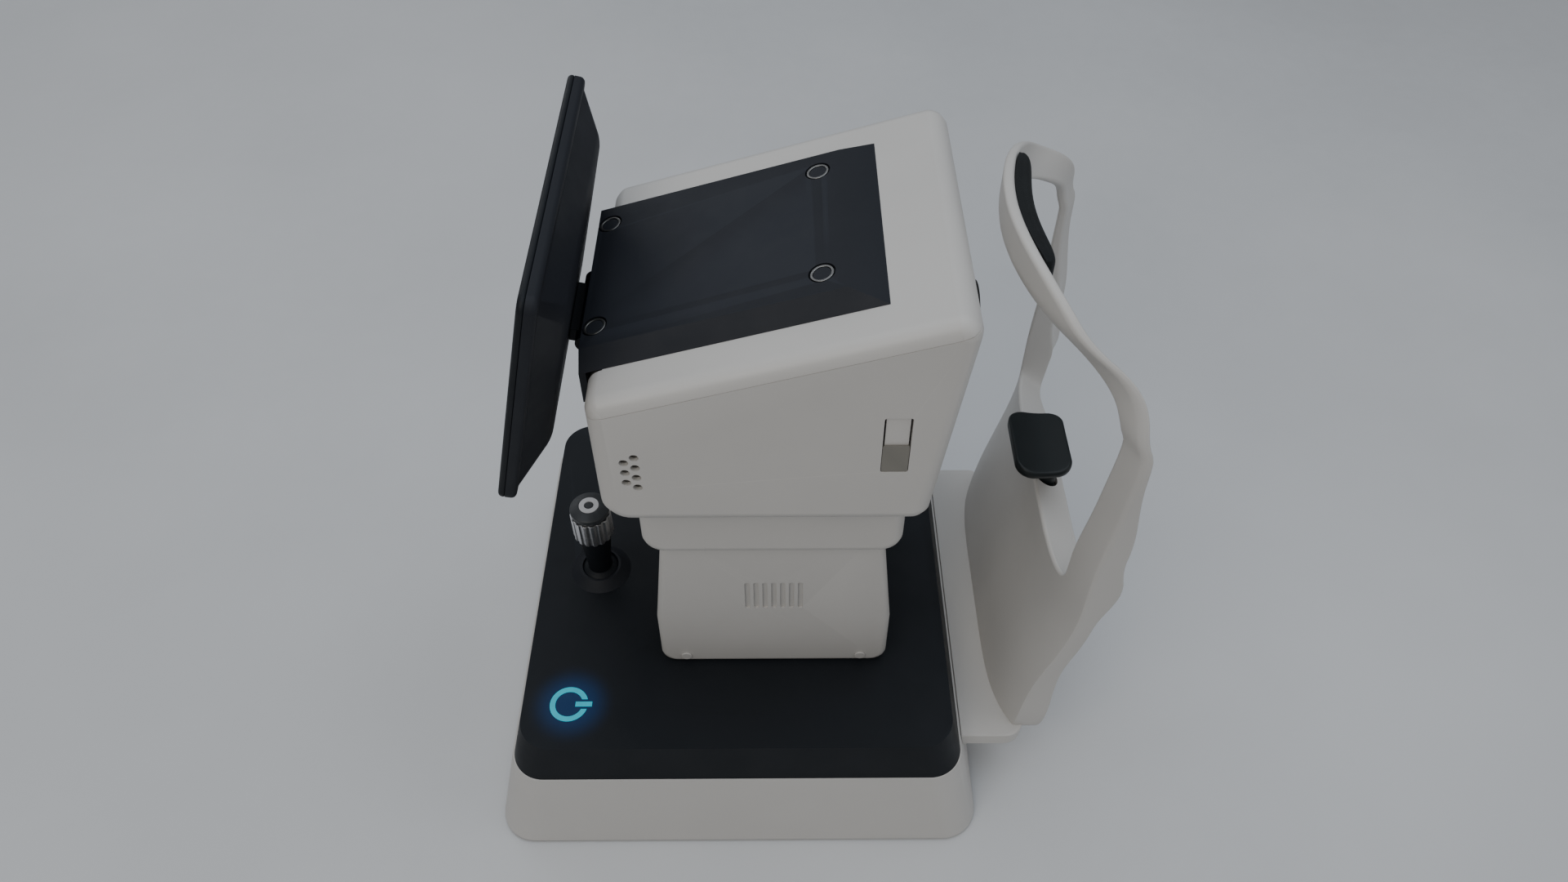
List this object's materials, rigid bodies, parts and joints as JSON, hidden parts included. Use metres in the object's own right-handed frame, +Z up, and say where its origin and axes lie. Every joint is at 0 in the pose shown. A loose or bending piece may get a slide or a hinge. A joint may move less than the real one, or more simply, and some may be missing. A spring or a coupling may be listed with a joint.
{
  "type": "autorefractor",
  "caption": "Tabletop eye-measuring instrument: lifting and sliding head on a pedestal, tilting screen, joystick on a tapered base, and a chin and forehead rest.",
  "frame": {"origin": "on the table, under the middle of the whole outline", "axes": "+X from the operator to the patient, +Y across the instrument, +Z up"},
  "size_m": [0.415, 0.3486, 0.4588],
  "materials": {
    "white_shell": "satin moulded plastic",
    "dark_shell": "satin moulded plastic",
    "charcoal_cover": "fine satin plastic",
    "grey_plastic": "satin plastic",
    "black_rubber": "matt",
    "soft_pad": "matt foam skin",
    "steel": "brushed",
    "grip_metal": "fluted, satin",
    "bronze": "plain bearing bronze",
    "board": "circuit board",
    "light_guide": "backlit, glowing",
    "glass": "coated optical glass",
    "display": "glossy cover glass",
    "led_lens": "clear epoxy",
    "black_gloss": "smooth",
    "ring_silver": "satin chrome"
  },
  "bodies": {
    "base": {"base_shell": "white_shell", "base_plate": "steel", "rubber_feet": "black_rubber", "deck": "dark_shell", "power_ring": "light_guide", "main_board": "board", "power_supply": "steel", "inlet_socket": "black_gloss", "inlet_pins": "steel", "pedestal_cover": "white_shell", "pedestal_caps": "white_shell", "guide_rods": "steel", "column_brace": "steel", "lift_motor": "dark_shell", "joy_bezel": "dark_shell", "joy_housing": "grey_plastic", "chin_frame": "white_shell", "chin_bracket": "steel", "chin_sleeve": "grey_plastic", "forehead_pad": "soft_pad"},
    "lead_screw": {"lead_screw": "steel"},
    "neck": {"neck_cover": "white_shell", "lift_plate": "steel", "lift_bushes": "bronze", "lift_nut": "bronze", "y_rails": "steel"},
    "cross_slide": {"cross_plate": "steel", "x_rails": "steel"},
    "head": {"head_shell": "white_shell", "head_cover": "white_shell", "top_cover": "charcoal_cover", "cover_rings": "ring_silver", "cover_plugs": "charcoal_cover", "speaker": "black_gloss", "slider_track": "white_shell", "lens_barrel": "grey_plastic", "lens_hood": "dark_shell", "led_ring": "led_lens", "lens_glass": "glass", "head_chassis": "steel", "optics_tube": "dark_shell", "camera_board": "board", "hinge_bracket": "dark_shell", "hinge_pin": "steel"},
    "lock_slider": {"lock_slider": "grey_plastic"},
    "screen": {"screen_knuckle": "dark_shell", "screen_back": "charcoal_cover", "screen_bezel": "dark_shell", "display_panel": "steel", "display_glass": "display"},
    "joystick_yoke": {"joy_yoke": "steel"},
    "joystick": {"joy_ball": "black_gloss", "joy_stem": "dark_shell", "joy_cap": "dark_shell", "joy_ring": "ring_silver"},
    "joystick_grip": {"joy_grip": "grip_metal"},
    "joystick_button": {"joy_button": "black_gloss"},
    "chin_rest": {"chin_post": "steel", "chin_cup": "grey_plastic"}
  },
  "joints": [
    {"name": "lift", "type": "slide", "parent": "base", "child": "neck", "axis": [0, 0, 1], "range_m": [-0.011, 0.011]},
    {"name": "screw_spin", "type": "hinge", "parent": "base", "child": "lead_screw", "pos_m": [-0.00918, 0, 0.1], "axis": [0, 0, 1], "range_deg": [-1000, 1000]},
    {"name": "head_across", "type": "slide", "parent": "neck", "child": "cross_slide", "axis": [0, 1, 0], "range_m": [-0.012, 0.012]},
    {"name": "head_forward", "type": "slide", "parent": "cross_slide", "child": "head", "axis": [1, 0, 0], "range_m": [-0.01, 0.01]},
    {"name": "lock_slide", "type": "slide", "parent": "head", "child": "lock_slider", "axis": [0, 0, 1], "range_m": [0, 0.0216]},
    {"name": "screen_tilt", "type": "hinge", "parent": "head", "child": "screen", "pos_m": [-0.11738, 0, 0.361], "axis": [0, 1, 0], "range_deg": [-25, 6]},
    {"name": "joystick_fore_aft", "type": "hinge", "parent": "base", "child": "joystick_yoke", "pos_m": [-0.14193, 0, 0.083], "axis": [0, 1, 0], "range_deg": [-8.5, 8.5], "stiffness_Nm_per_rad": 0.5},
    {"name": "joystick_side", "type": "hinge", "parent": "joystick_yoke", "child": "joystick", "pos_m": [-0.14193, 0, 0.083], "axis": [1, 0, 0], "range_deg": [-8.5, 8.5], "stiffness_Nm_per_rad": 0.5},
    {"name": "grip_turn", "type": "hinge", "parent": "joystick", "child": "joystick_grip", "pos_m": [-0.14193, 0, 0.143], "axis": [0, 0, 1], "continuous": true},
    {"name": "button_press", "type": "slide", "parent": "joystick", "child": "joystick_button", "axis": [0, 0, -1], "range_m": [0, 0.0015], "stiffness_N_per_m": 400},
    {"name": "chin_height", "type": "slide", "parent": "base", "child": "chin_rest", "axis": [0, 0, 1], "range_m": [0, 0.055]}
  ],
  "couplings": [
    {"joint": "screw_spin", "follows": "lift", "rad_per_m": 1570.8}
  ]
}
